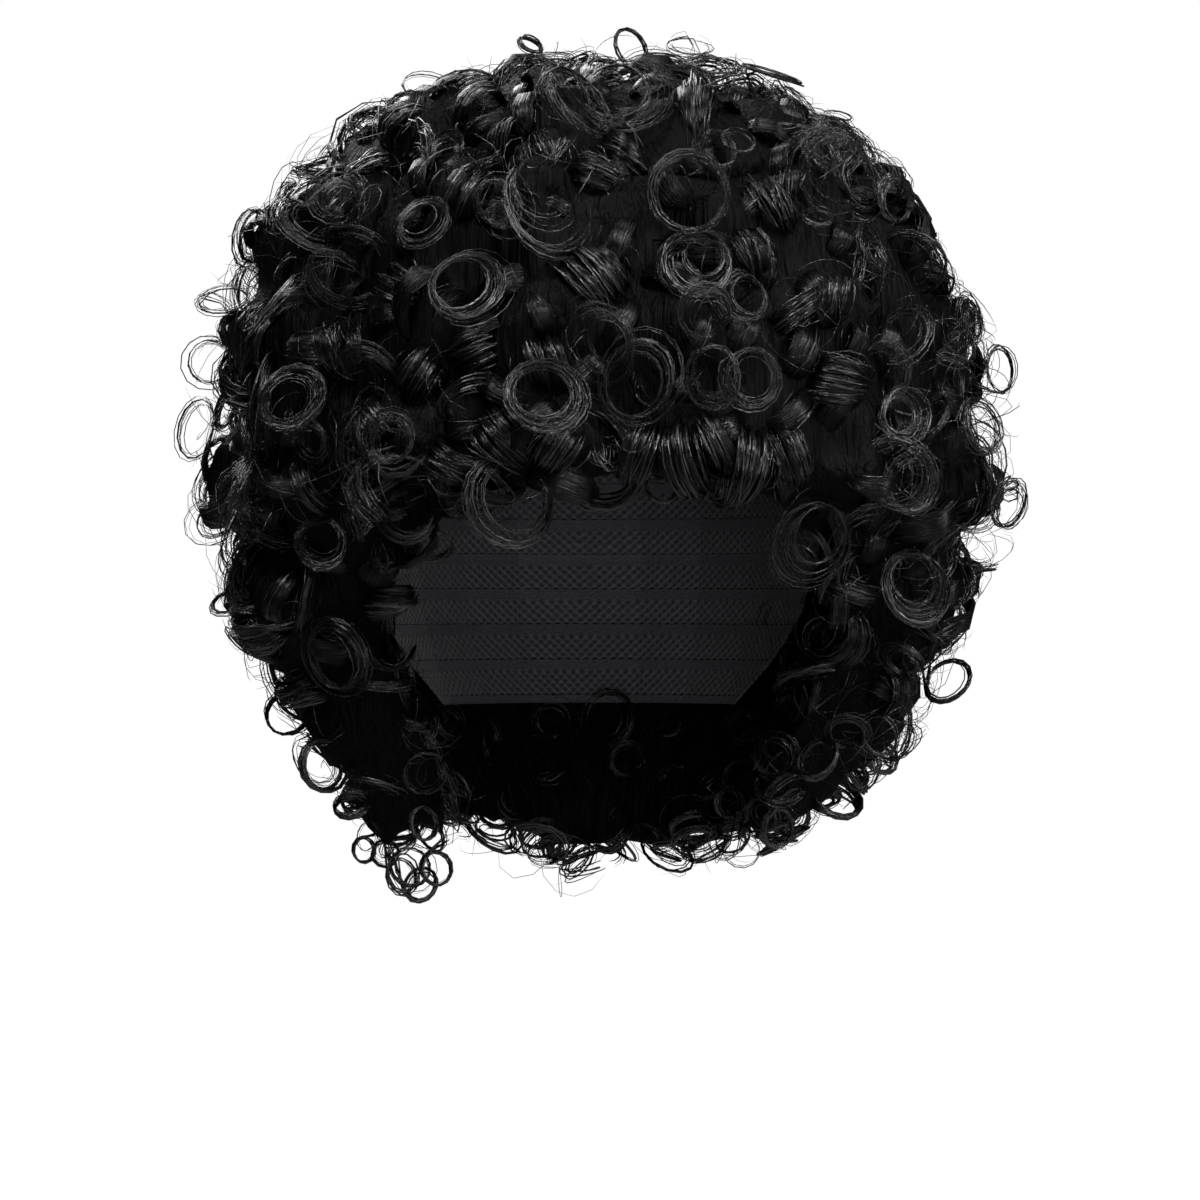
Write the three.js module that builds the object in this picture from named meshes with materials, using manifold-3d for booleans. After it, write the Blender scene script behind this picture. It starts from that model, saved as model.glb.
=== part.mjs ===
// A short, full, curly wig in the form it keeps on a head: a stretch cap, and the hair sewn to it
// in six sections. Each section is a mass of hair with its curls fused on.
// Millimetres, +Z up, the wearer faces -Y and the wearer's left is +X.
// The origin is the point inside the cap that rests on the top of the head.
import * as THREE from 'three';
import { ParametricGeometry } from 'three/addons/geometries/ParametricGeometry.js';
import { mergeVertices } from 'three/addons/utils/BufferGeometryUtils.js';
import Module from 'manifold-3d';

const wasm = await Module();
wasm.setup();

// The head that the cap is made for, measured from a plumb line through its top.
const HEAD_HALF_BREADTH = 75;
const HEAD_FRONT = 93;
const HEAD_BACK = 95;
const HEAD_TO_NECK = 220;

// The cap: a stretch net with a hairline in front, a cut-out over each ear and a nape behind.
const CAP_WALL = 2;
const HAIRLINE_DROP = 58;
const EAR_TAB_DROP = 98;
const EAR_TOP_DROP = 82;
const NAPE_DROP = 148;

// The mass of hair: how far it stands off the head on each side, and how far down it hangs.
const HAIR_ABOVE_HEAD = 57;
const HAIR_BESIDE_HEAD = 51;
const HAIR_BEFORE_HEAD = 24;
const HAIR_BEHIND_HEAD = 43;
const HAIR_DROP = 194;
const CAP_TO_HAIR_GAP = 0.4;

// The opening for the face and neck, seen from the front, and where its back wall is.
const BROW_DROP = 76;
const FACE_HALF_WIDTH = 66;
const FACE_CUT_BACK = 20;

// Where one section of hair ends and the next begins. The crown ends this far from the top,
// measured over the hair. The others part at angles round the head, counted from the front.
const CROWN_REACH = 100;
const FRINGE_END_ANGLE = 48;
const SIDE_END_ANGLE = 122;
const NAPE_TOP_DROP = 72;
const SECTION_GAP = 0.6;

// The curls that lie on the mass: open spirals, each tipped over a little.
const CURL_SPACING = 44;
const CURL_OUTER_RADIUS = 16;
const CURL_INNER_RADIUS = 11;
const CURL_THICKNESS = 9;
const CURL_TURNS = 1.17;
const CURL_RISE = 9;
const CURL_TIP = 30;

// The ringlets that hang from the lower edge of the sides and the nape.
const RINGLET_SPACING = 46;
const RINGLET_RADIUS = 8;
const RINGLET_THICKNESS = 7;
const RINGLET_TURNS = 1.5;
const RINGLET_LENGTH = 30;
const RINGLET_EDGE_DROP = 176;

// How finely the curved forms are divided.
const FORM_SLICES = 22;
const FORM_STACKS = 13;
const LOCK_STEPS_PER_TURN = 6;
const LOCK_SIDES = 4;

const FAR = 400;
const FULL_TURN = 360;
const GOLDEN_ANGLE = 137.5;
const LEFT_ANGLE = 90;

// The head from its top down. drop is a share of HEAD_TO_NECK, and the other columns are shares
// of the head's half breadth, front and back.
const HEAD_FORM = [
  { drop: 0.00, side: 0.00, front: 0.00, back: 0.00 },
  { drop: 0.03, side: 0.50, front: 0.47, back: 0.52 },
  { drop: 0.11, side: 0.80, front: 0.78, back: 0.80 },
  { drop: 0.23, side: 0.95, front: 0.95, back: 0.95 },
  { drop: 0.37, side: 1.00, front: 1.00, back: 1.00 },
  { drop: 0.50, side: 0.99, front: 1.00, back: 0.96 },
  { drop: 0.61, side: 0.90, front: 0.97, back: 0.87 },
  { drop: 0.73, side: 0.73, front: 0.88, back: 0.74 },
  { drop: 0.86, side: 0.62, front: 0.76, back: 0.66 },
  { drop: 0.98, side: 0.60, front: 0.70, back: 0.62 },
  { drop: 1.00, side: 0.00, front: 0.00, back: 0.00 },
];

// The outside of the mass of hair. level is a share of HAIR_ABOVE_HEAD above the top of the head
// and of HAIR_DROP below it, and the other columns are shares of the hair's reach on each side.
const HAIR_FORM = [
  { level: 1.00, side: 0.00, front: 0.00, back: 0.00 },
  { level: 0.97, side: 0.26, front: 0.26, back: 0.26 },
  { level: 0.89, side: 0.47, front: 0.47, back: 0.47 },
  { level: 0.70, side: 0.65, front: 0.65, back: 0.64 },
  { level: 0.42, side: 0.79, front: 0.79, back: 0.78 },
  { level: 0.10, side: 0.89, front: 0.90, back: 0.89 },
  { level: -0.09, side: 0.94, front: 0.96, back: 0.94 },
  { level: -0.25, side: 0.98, front: 1.00, back: 0.98 },
  { level: -0.41, side: 1.00, front: 0.97, back: 1.00 },
  { level: -0.57, side: 0.97, front: 0.68, back: 0.98 },
  { level: -0.72, side: 0.89, front: 0.44, back: 0.92 },
  { level: -0.85, side: 0.77, front: 0.28, back: 0.82 },
  { level: -0.95, side: 0.60, front: 0.18, back: 0.67 },
  { level: -1.00, side: 0.32, front: 0.10, back: 0.42 },
  { level: -1.00, side: 0.00, front: 0.00, back: 0.00 },
];

// The rim of the cap in side view, from the temple to the nape. reach is a share of HEAD_FRONT in
// front of the plumb line and of HEAD_BACK behind it.
const CAP_RIM = [
  { reach: -0.95, drop: HAIRLINE_DROP },
  { reach: -0.60, drop: (HAIRLINE_DROP + EAR_TAB_DROP) / 2 },
  { reach: -0.38, drop: EAR_TAB_DROP },
  { reach: -0.24, drop: EAR_TAB_DROP },
  { reach: -0.10, drop: EAR_TOP_DROP },
  { reach: 0.18, drop: EAR_TOP_DROP },
  { reach: 0.30, drop: (EAR_TOP_DROP + NAPE_DROP) / 2 },
  { reach: 0.48, drop: NAPE_DROP },
];

// Half of the outline of the face opening, from the middle of the brow to the neck. side and drop
// are shares of FACE_HALF_WIDTH, and drop is measured below BROW_DROP.
const FACE_OUTLINE = [
  { side: 0.00, drop: 0.00 },
  { side: 0.45, drop: 0.03 },
  { side: 0.82, drop: 0.18 },
  { side: 1.00, drop: 0.50 },
  { side: 1.00, drop: 0.90 },
  { side: 0.84, drop: 1.22 },
  { side: 0.69, drop: 1.50 },
  { side: 0.66, drop: 2.10 },
];

const hairMaterial = new THREE.MeshStandardMaterial({ color: 0x141416, roughness: 0.45, metalness: 0 });
const capMaterial = new THREE.MeshStandardMaterial({ color: 0x0c0c0d, roughness: 0.85, metalness: 0 });

// One column of a table as a smooth function of the share of the way down the table.
function column(table, key, sizeOf) {
  const lengths = table.map((row) => row[key] * sizeOf(row[key]));
  const curve = new THREE.SplineCurve(lengths.map((length, i) => new THREE.Vector2(i, length)));
  return (share) => curve.getPoint(share).y;
}

// A form from a table, as a function of the angle round it and the share of the way down. Each
// level is half an ellipse in front and half of another behind.
function levelForm(table, heightKey, heightOf, reach) {
  const height = column(table, heightKey, heightOf);
  const side = column(table, 'side', () => reach.side);
  const front = column(table, 'front', () => reach.front);
  const back = column(table, 'back', () => reach.back);
  return (degrees, share, target = new THREE.Vector3()) => {
    const angle = THREE.MathUtils.degToRad(degrees);
    const depth = Math.cos(angle) > 0 ? front(share) : back(share);
    return target.set(side(share) * Math.sin(angle), -depth * Math.cos(angle), height(share));
  };
}

const hairPoint = levelForm(HAIR_FORM, 'level', (level) => (level > 0 ? HAIR_ABOVE_HEAD : HAIR_DROP), {
  side: HEAD_HALF_BREADTH + HAIR_BESIDE_HEAD,
  front: HEAD_FRONT + HAIR_BEFORE_HEAD,
  back: HEAD_BACK + HAIR_BEHIND_HEAD,
});

// A three.js geometry as a solid, with its seams and poles closed.
function solid(geometry) {
  geometry.deleteAttribute('normal');
  geometry.deleteAttribute('uv');
  const merged = mergeVertices(geometry, 1e-3);
  const corners = merged.index.array;
  const triVerts = [];
  for (let i = 0; i < corners.length; i += 3) {
    const [a, b, c] = corners.subarray(i, i + 3);
    if (a !== b && b !== c && c !== a) triVerts.push(a, b, c);
  }
  return new wasm.Manifold(new wasm.Mesh({
    numProp: 3,
    vertProperties: merged.attributes.position.array,
    triVerts: new Uint32Array(triVerts),
  }));
}

function namedMesh(name, made, material) {
  const { vertProperties, triVerts } = made.getMesh();
  const geometry = new THREE.BufferGeometry();
  geometry.setAttribute('position', new THREE.BufferAttribute(vertProperties, 3));
  geometry.setIndex(new THREE.BufferAttribute(triVerts, 1));
  geometry.computeVertexNormals();
  const mesh = new THREE.Mesh(geometry, material);
  mesh.name = name;
  return mesh;
}

function formSolid(form) {
  const surface = (u, v, target) => form(-u * FULL_TURN, v, target);
  return solid(new ParametricGeometry(surface, FORM_SLICES, FORM_STACKS));
}

// The head, or a form that stands off it by the same distance all round.
function headSolid(standOff) {
  const form = levelForm(HEAD_FORM, 'drop', () => -HEAD_TO_NECK, {
    side: HEAD_HALF_BREADTH + standOff,
    front: HEAD_FRONT + standOff,
    back: HEAD_BACK + standOff,
  });
  return formSolid(form).translate([0, 0, standOff]);
}

// An outline in side view, y to the right and z up, extruded right across the wig.
function sideBlock(outline) {
  const shape = new THREE.Shape(outline);
  const geometry = new THREE.ExtrudeGeometry(shape, { depth: 2 * FAR, bevelEnabled: false });
  geometry.translate(0, 0, -FAR);
  geometry.rotateZ(Math.PI / 2);
  geometry.rotateY(Math.PI / 2);
  return solid(geometry);
}

function slab(bottom, top) {
  return sideBlock([
    new THREE.Vector2(-FAR, bottom),
    new THREE.Vector2(FAR, bottom),
    new THREE.Vector2(FAR, top),
    new THREE.Vector2(-FAR, top),
  ]);
}

function capSolid() {
  const rim = CAP_RIM.map(({ reach, drop }) => (
    new THREE.Vector2(reach * (reach < 0 ? HEAD_FRONT : HEAD_BACK), -drop)
  ));
  const aboveRim = sideBlock([
    new THREE.Vector2(-FAR, FAR),
    new THREE.Vector2(-FAR, -HAIRLINE_DROP),
    ...rim,
    new THREE.Vector2(FAR, -NAPE_DROP),
    new THREE.Vector2(FAR, FAR),
  ]);
  return headSolid(CAP_WALL).subtract(headSolid(0)).intersect(aboveRim);
}

// The space for the face and neck: its outline in front view, run forward out of the hair.
function faceSpace() {
  const half = new THREE.SplineCurve(FACE_OUTLINE.map(({ side, drop }) => (
    new THREE.Vector2(side * FACE_HALF_WIDTH, -BROW_DROP - drop * FACE_HALF_WIDTH)
  ))).getPoints(2 * FACE_OUTLINE.length);
  const otherHalf = half.slice(1).reverse().map((point) => new THREE.Vector2(-point.x, point.y));
  const outline = new THREE.Shape([...otherHalf, ...half]);
  const geometry = new THREE.ExtrudeGeometry(outline, { depth: FAR, bevelEnabled: false });
  geometry.rotateX(Math.PI / 2);
  geometry.translate(0, -FACE_CUT_BACK, 0);
  return solid(geometry);
}

// The hair's outline over one side, measured along its length to space the rows of curls.
const sideOutline = new THREE.SplineCurve(HAIR_FORM.map((row, i) => {
  const point = hairPoint(LEFT_ANGLE, i / (HAIR_FORM.length - 1));
  return new THREE.Vector2(point.x, point.z);
}));

function shareAtReach(reach) {
  return sideOutline.getUtoTmapping(reach / sideOutline.getLength());
}

function reachAtDrop(drop) {
  const points = sideOutline.getSpacedPoints(Math.round(sideOutline.getLength()));
  return points.findIndex((point) => point.y <= -drop);
}

// The length of the hair's surface between two angles, at one share of the way down.
function arcLength(fromAngle, toAngle, share) {
  const points = Array.from({ length: FORM_SLICES + 1 }, (_, i) => (
    hairPoint(THREE.MathUtils.lerp(fromAngle, toAngle, i / FORM_SLICES), share)
  ));
  return points.slice(1).reduce((sum, point, i) => sum + point.distanceTo(points[i]), 0);
}

// The angles of as many evenly spaced places as fit between two angles.
function placesBetween(fromAngle, toAngle, share, spacing) {
  const count = Math.max(1, Math.floor(arcLength(fromAngle, toAngle, share) / spacing));
  return Array.from({ length: count }, (_, i) => THREE.MathUtils.lerp(fromAngle, toAngle, (i + 0.5) / count));
}

// A path that winds round the z axis of a frame while its radius and height change evenly.
class Winding extends THREE.Curve {
  constructor(frame, { turns, startAngle, radii, heights }) {
    super();
    Object.assign(this, { frame, turns, startAngle, radii, heights });
  }

  getPoint(share, target = new THREE.Vector3()) {
    const angle = this.startAngle + 2 * Math.PI * this.turns * share;
    const radius = THREE.MathUtils.lerp(...this.radii, share);
    const height = THREE.MathUtils.lerp(...this.heights, share);
    return target.set(radius * Math.cos(angle), radius * Math.sin(angle), height).applyMatrix4(this.frame);
  }
}

function lockAlong(path, thickness) {
  const outline = new THREE.Shape(Array.from({ length: LOCK_SIDES }, (_, i) => {
    const angle = (2 * Math.PI * i) / LOCK_SIDES;
    return new THREE.Vector2(Math.cos(angle), Math.sin(angle)).multiplyScalar(thickness / 2);
  }));
  const steps = Math.round(path.turns * LOCK_STEPS_PER_TURN);
  return solid(new THREE.ExtrudeGeometry(outline, { steps, extrudePath: path }));
}

function hairNormal(degrees, share) {
  const step = 1e-3;
  const here = hairPoint(degrees, share);
  const round = hairPoint(degrees + step * FULL_TURN, share).sub(here);
  const down = hairPoint(degrees, share + step).sub(here);
  return down.cross(round).normalize();
}

// A curl on the hair. Its axis leans off the hair's normal, another way for each curl.
function curl(degrees, share, count) {
  const normal = hairNormal(degrees, share);
  const lean = new THREE.Vector3(1, 0, 0).cross(normal).normalize()
    .applyAxisAngle(normal, THREE.MathUtils.degToRad(GOLDEN_ANGLE * count));
  const axis = normal.clone().applyAxisAngle(lean, THREE.MathUtils.degToRad(CURL_TIP));
  const frame = new THREE.Matrix4()
    .makeBasis(lean, axis.clone().cross(lean), axis)
    .setPosition(hairPoint(degrees, share));
  return lockAlong(new Winding(frame, {
    turns: CURL_TURNS,
    startAngle: count,
    radii: [CURL_OUTER_RADIUS, CURL_INNER_RADIUS],
    heights: [0, CURL_RISE],
  }), CURL_THICKNESS);
}

// A ringlet whose upper half is in the hair and whose lower half hangs out of its lower edge.
function ringlet(degrees, share, count) {
  const place = hairPoint(degrees, share);
  const inward = new THREE.Vector3(place.x, place.y, 0).setLength(-CURL_THICKNESS);
  const frame = new THREE.Matrix4().makeTranslation(place.add(inward));
  return lockAlong(new Winding(frame, {
    turns: RINGLET_TURNS,
    startAngle: count,
    radii: [RINGLET_RADIUS, RINGLET_RADIUS],
    heights: [0, -RINGLET_LENGTH],
  }), RINGLET_THICKNESS);
}

// Rows of curls between two angles round the head, and from one distance to another over the hair.
function curlRows({ fromAngle, toAngle, fromReach, toReach }) {
  const curls = [];
  const rows = Math.max(1, Math.round((toReach - fromReach) / CURL_SPACING));
  for (let row = 0; row < rows; row += 1) {
    const share = shareAtReach(THREE.MathUtils.lerp(fromReach, toReach, (row + 0.5) / rows));
    for (const degrees of placesBetween(fromAngle, toAngle, share, CURL_SPACING)) {
      curls.push(curl(degrees, share, curls.length + row));
    }
  }
  return curls;
}

function ringletRow({ fromAngle, toAngle }) {
  const share = shareAtReach(reachAtDrop(RINGLET_EDGE_DROP));
  return placesBetween(fromAngle, toAngle, share, RINGLET_SPACING)
    .map((degrees, i) => ringlet(degrees, share, i));
}

// The cone that bounds the crown. One that is drawn down leaves a gap to the hair round it.
function crownCone(gap) {
  const rim = hairPoint(LEFT_ANGLE, shareAtReach(CROWN_REACH));
  const apex = -HEAD_FRONT;
  const opening = Math.atan2(rim.x, rim.z - apex);
  const geometry = new THREE.ConeGeometry(FAR * Math.tan(opening), FAR, FORM_SLICES);
  geometry.rotateX(-Math.PI / 2);
  geometry.translate(0, 0, apex + FAR / 2 - gap / Math.sin(opening));
  return solid(geometry);
}

// An upright wedge between two angles round the head, drawn in by half the gap on both sides.
function wedge({ fromAngle, toAngle }) {
  const spoke = (degrees, length) => {
    const angle = THREE.MathUtils.degToRad(degrees);
    return new THREE.Vector2(length * Math.sin(angle), -length * Math.cos(angle));
  };
  const middle = (fromAngle + toAngle) / 2;
  const halfOpening = THREE.MathUtils.degToRad((toAngle - fromAngle) / 2);
  const apex = spoke(middle, SECTION_GAP / 2 / Math.sin(halfOpening));
  const ends = [fromAngle, middle, toAngle].map((degrees) => spoke(degrees, FAR).add(apex));
  const outline = new THREE.Shape([apex, ...ends]);
  const geometry = new THREE.ExtrudeGeometry(outline, { depth: 2 * FAR, bevelEnabled: false });
  geometry.translate(0, 0, -FAR);
  return solid(geometry);
}

const mass = formSolid(hairPoint)
  .subtract(headSolid(CAP_WALL + CAP_TO_HAIR_GAP))
  .subtract(faceSpace());
const aboveNape = slab(SECTION_GAP - NAPE_TOP_DROP, FAR);
const napeAndBelow = slab(-FAR, -NAPE_TOP_DROP);
const outsideCrown = slab(-FAR, FAR).subtract(crownCone(SECTION_GAP));

const browReach = reachAtDrop(BROW_DROP) + CURL_INNER_RADIUS;
const napeReach = reachAtDrop(NAPE_TOP_DROP);
const edgeReach = reachAtDrop(RINGLET_EDGE_DROP);

const crown = { fromAngle: 0, toAngle: FULL_TURN, fromReach: 0, toReach: CROWN_REACH };
const fringe = {
  fromAngle: -FRINGE_END_ANGLE, toAngle: FRINGE_END_ANGLE, fromReach: CROWN_REACH, toReach: browReach,
};
const leftSide = {
  fromAngle: FRINGE_END_ANGLE, toAngle: SIDE_END_ANGLE, fromReach: CROWN_REACH, toReach: edgeReach,
};
const rightSide = { ...leftSide, fromAngle: -SIDE_END_ANGLE, toAngle: -FRINGE_END_ANGLE };
const back = {
  fromAngle: SIDE_END_ANGLE, toAngle: FULL_TURN - SIDE_END_ANGLE, fromReach: CROWN_REACH, toReach: napeReach,
};
const nape = { ...back, fromReach: napeReach, toReach: edgeReach };

function hairSection(name, region, locks) {
  return namedMesh(name, wasm.Manifold.union([mass, ...locks]).intersect(region), hairMaterial);
}

const wig = new THREE.Group();
wig.add(namedMesh('wig_cap', capSolid(), capMaterial));
wig.add(hairSection('crown_curls', crownCone(0), curlRows(crown)));
wig.add(hairSection('fringe_curls', outsideCrown.intersect(wedge(fringe)), curlRows(fringe)));
for (const [name, side] of [['side_curls_left', leftSide], ['side_curls_right', rightSide]]) {
  const region = outsideCrown.intersect(wedge(side));
  wig.add(hairSection(name, region, [...curlRows(side), ...ringletRow(side)]));
}
const backRegion = outsideCrown.intersect(wedge(back));
const napeLocks = [...curlRows(nape), ...ringletRow(nape)];
wig.add(hairSection('back_curls', backRegion.intersect(aboveNape), curlRows(back)));
wig.add(hairSection('nape_curls', backRegion.intersect(napeAndBelow), napeLocks));

export default wig;
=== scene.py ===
import math

import bmesh
import bpy
import numpy as np
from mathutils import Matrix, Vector, noise
from mathutils.bvhtree import BVHTree


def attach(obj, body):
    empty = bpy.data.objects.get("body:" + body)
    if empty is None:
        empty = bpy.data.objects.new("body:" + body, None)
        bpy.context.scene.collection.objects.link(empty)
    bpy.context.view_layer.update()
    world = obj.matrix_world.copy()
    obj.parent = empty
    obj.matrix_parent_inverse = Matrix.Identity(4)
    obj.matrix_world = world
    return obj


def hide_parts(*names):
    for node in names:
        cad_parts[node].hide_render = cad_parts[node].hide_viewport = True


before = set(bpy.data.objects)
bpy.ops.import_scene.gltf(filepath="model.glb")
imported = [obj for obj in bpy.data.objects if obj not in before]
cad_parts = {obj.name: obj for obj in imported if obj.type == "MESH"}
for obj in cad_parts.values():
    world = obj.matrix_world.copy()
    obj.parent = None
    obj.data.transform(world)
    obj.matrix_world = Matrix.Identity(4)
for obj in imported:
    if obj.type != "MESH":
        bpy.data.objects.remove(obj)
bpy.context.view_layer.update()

scene = bpy.context.scene


# The viewpoint: level with the lower half of the hair, a metre and a half in front of it and a
# little to the wearer's right, so that the wig faces slightly past the camera as in the picture.
PICTURE_SIDE = 1200
METRES_PER_PIXEL = 0.325e-3
CAMERA_DISTANCE = 1.5
CAMERA_TURN = math.radians(-4.5)
CAMERA_HEIGHT = -0.113
SENSOR_WIDTH = 36

camera_back = Vector((math.sin(CAMERA_TURN), -math.cos(CAMERA_TURN), 0))
camera_right = Vector((math.cos(CAMERA_TURN), math.sin(CAMERA_TURN), 0))
camera_place = Vector((0, 0, CAMERA_HEIGHT)) + camera_back * CAMERA_DISTANCE

camera_data = bpy.data.cameras.new("camera")
camera_data.sensor_width = SENSOR_WIDTH
camera_data.lens = SENSOR_WIDTH * CAMERA_DISTANCE / (PICTURE_SIDE * METRES_PER_PIXEL)
camera = bpy.data.objects.new("camera", camera_data)
camera.location = camera_place
camera.rotation_euler = (math.radians(90), 0, CAMERA_TURN)
scene.collection.objects.link(camera)
scene.camera = camera


# The mass of hair under the curls. Wefts of curled modacrylic fibre are sewn to the cap so close
# together that a few millimetres in they close up to a soft black mass. It is shaped from each
# section's own solid, softened and drawn in to leave room for the curls.
HEAD_CENTRE = Vector((0, 0, -0.075))
CORE_VOXEL = 0.0065
CORE_SOFTENING = 6
CORE_INSET = 0.009
CORE_INSET_AT_TOP = 0.006
TOP_HEIGHTS = (0.02, 0.06)
CORE_OFF_CAP = 0.0035
EDGE_FALL = 0.010
LUMP_HEIGHT = 0.005
LUMPS_PER_METRE = 45
CLUMP_DEPTH = 1.7
CLUMPS_PER_METRE = 38
EDGE_HEIGHTS = (-0.13, -0.19)
SECTIONS = {
    "crown": "crown_curls",
    "fringe": "fringe_curls",
    "left_side": "side_curls_left",
    "right_side": "side_curls_right",
    "back": "back_curls",
    "nape": "nape_curls",
}


# The outline of the hair in the picture, in pixels, clockwise from the top and without its finest hairs.
OUTLINE = [
    (600, 40), (690, 44), (755, 66), (800, 96), (850, 122), (890, 154), (918, 198), (948, 248), (978, 300),
    (1010, 380), (1022, 460), (1012, 540), (972, 610), (955, 690), (910, 750), (855, 800), (770, 855), (600, 900),
    (430, 902), (375, 865), (335, 805), (300, 750), (262, 690), (222, 610), (195, 520), (185, 440), (195, 350),
    (212, 280), (250, 205), (300, 148), (400, 92), (500, 52),
]
OUTLINE_MIDDLE = (600, 450)
CORE_INSIDE_OUTLINE = 18
outline_from_middle = np.array(OUTLINE) - OUTLINE_MIDDLE
outline_angles = np.arctan2(outline_from_middle[:, 1], outline_from_middle[:, 0])
outline_reach = np.hypot(outline_from_middle[:, 0], outline_from_middle[:, 1])


def kept_inside(points, spare):
    """Moves points together towards the middle of the picture, until none shows past the outline there."""
    offset = points - np.array(camera_place)
    scale = -CAMERA_DISTANCE / METRES_PER_PIXEL / (offset @ np.array(camera_back))
    right = PICTURE_SIDE / 2 - OUTLINE_MIDDLE[0] + offset @ np.array(camera_right) * scale
    down = PICTURE_SIDE / 2 - OUTLINE_MIDDLE[1] - offset[..., 2] * scale
    reach = np.hypot(right, down)
    past = reach - spare - np.interp(np.arctan2(down, right), outline_angles, outline_reach, period=2 * math.pi)
    worst = np.argmax(past)
    if past.flat[worst] <= 0:
        return points
    inward = Vector((0, 0, down.flat[worst])) - camera_right * right.flat[worst]
    return points + np.array(inward.normalized()) * past.flat[worst] * METRES_PER_PIXEL


def linear(hex_colour):
    """An sRGB colour such as #101012 as the linear colour that a shader takes."""
    parts = [int(hex_colour[i:i + 2], 16) / 255 for i in (1, 3, 5)]
    return (*[c / 12.92 if c <= 0.04045 else ((c + 0.055) / 1.055) ** 2.4 for c in parts], 1)


def add_node(tree, kind, inputs=None, **settings):
    """Adds a shader node. An input is given a value, or another node's socket to link from."""
    made = tree.nodes.new(kind)
    for name, value in settings.items():
        setattr(made, name, value)
    for name, value in (inputs or {}).items():
        if isinstance(value, bpy.types.NodeSocket):
            tree.links.new(value, made.inputs[name])
        else:
            made.inputs[name].default_value = value
    return made


def new_material(name):
    material = bpy.data.materials.new(name)
    material.use_nodes = True
    material.node_tree.nodes.clear()
    return material, material.node_tree


def smoothstep(low, high, value):
    share = np.clip((value - low) / (high - low), 0, 1)
    return share * share * (3 - 2 * share)


def drop_islands(bm):
    """Deletes all but the largest connected piece, such as the solid's own free curls at its edge."""
    left = set(bm.verts)
    pieces = []
    while left:
        piece = [left.pop()]
        for vert in piece:
            for edge in vert.link_edges:
                other = edge.other_vert(vert)
                if other in left:
                    left.discard(other)
                    piece.append(other)
        pieces.append(piece)
    pieces.sort(key=len)
    bmesh.ops.delete(bm, geom=[vert for piece in pieces[:-1] for vert in piece], context="VERTS")


def soft_core(name, node_name):
    """A softened, drawn-in copy of one hair section's solid."""
    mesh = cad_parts[node_name].data.copy()
    core = bpy.data.objects.new(name, mesh)
    scene.collection.objects.link(core)
    bm = bmesh.new()
    bm.from_mesh(mesh)
    bmesh.ops.remove_doubles(bm, verts=bm.verts, dist=1e-6)
    bm.to_mesh(mesh)
    bm.free()
    remesh = core.modifiers.new("even out", "REMESH")
    remesh.mode = "VOXEL"
    remesh.voxel_size = CORE_VOXEL
    evaluated = core.evaluated_get(bpy.context.evaluated_depsgraph_get())
    even = bpy.data.meshes.new_from_object(evaluated)
    core.modifiers.clear()
    core.data = even
    even.name = name
    bm = bmesh.new()
    bm.from_mesh(even)
    drop_islands(bm)
    for _ in range(CORE_SOFTENING):
        bmesh.ops.smooth_vert(bm, verts=bm.verts, factor=0.5, use_axis_x=True, use_axis_y=True, use_axis_z=True)
    bm.normal_update()
    for vert in bm.verts:
        outward = (vert.co - HEAD_CENTRE).normalized()
        facing = vert.normal.dot(outward)
        at_edge = smoothstep(*EDGE_HEIGHTS[::-1], vert.co.z)
        at_top = smoothstep(*TOP_HEIGHTS, vert.co.z)
        inset = CORE_INSET + (CORE_INSET_AT_TOP - CORE_INSET) * at_top
        lump = LUMP_HEIGHT * noise.noise(vert.co * LUMPS_PER_METRE)
        vert.co -= outward * ((inset - lump) * max(0, facing) - CORE_OFF_CAP * max(0, -facing))
        clump = 0.6 + CLUMP_DEPTH * noise.noise(vert.co * CLUMPS_PER_METRE)
        vert.co.z -= EDGE_FALL * clump * (1 - at_edge) * max(0, -vert.normal.z)
        vert.co = Vector(kept_inside(np.array(vert.co)[None], -CORE_INSIDE_OUTLINE)[0])
    for face in bm.faces:
        face.smooth = True
    bm.normal_update()
    bm.to_mesh(even)
    bm.free()
    return core


def mass_material():
    """Massed modacrylic fibre: black and dull with depth, combed downwards by fine and broad streaks."""
    material, tree = new_material("massed_black_modacrylic_fibre")
    place = add_node(tree, "ShaderNodeTexCoord").outputs["Object"]
    combed = add_node(tree, "ShaderNodeMapping", {"Vector": place, "Scale": (1, 1, 0.08)}).outputs["Vector"]
    strands = add_node(tree, "ShaderNodeTexNoise", {"Vector": combed, "Scale": 1200, "Detail": 2, "Distortion": 0.4})
    locks = add_node(tree, "ShaderNodeTexNoise", {"Vector": combed, "Scale": 180, "Detail": 2, "Distortion": 1.5})
    colour = add_node(tree, "ShaderNodeValToRGB", {"Fac": locks.outputs["Fac"]})
    colour.color_ramp.elements[0].color = linear("#010101")
    colour.color_ramp.elements[1].color = linear("#040404")
    bump = add_node(tree, "ShaderNodeBump", {
        "Height": locks.outputs["Fac"], "Strength": 1.0, "Distance": 0.003,
    })
    fine = add_node(tree, "ShaderNodeBump", {
        "Height": strands.outputs["Fac"], "Normal": bump.outputs["Normal"], "Strength": 1.0, "Distance": 0.0006,
    })
    shader = add_node(tree, "ShaderNodeBsdfPrincipled", {
        "Base Color": colour.outputs["Color"], "Roughness": 0.6, "IOR": 1.5,
        "Specular IOR Level": 0.05, "Normal": fine.outputs["Normal"],
    })
    add_node(tree, "ShaderNodeOutputMaterial", {"Surface": shader.outputs["BSDF"]})
    return material


massed_fibre = mass_material()
cores = {}
for section, node_name in SECTIONS.items():
    core = soft_core(section + "_hair_mass", node_name)
    core.data.materials.clear()
    core.data.materials.append(massed_fibre)
    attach(core, "root")
    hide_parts(node_name)
    cores[section] = core


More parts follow.
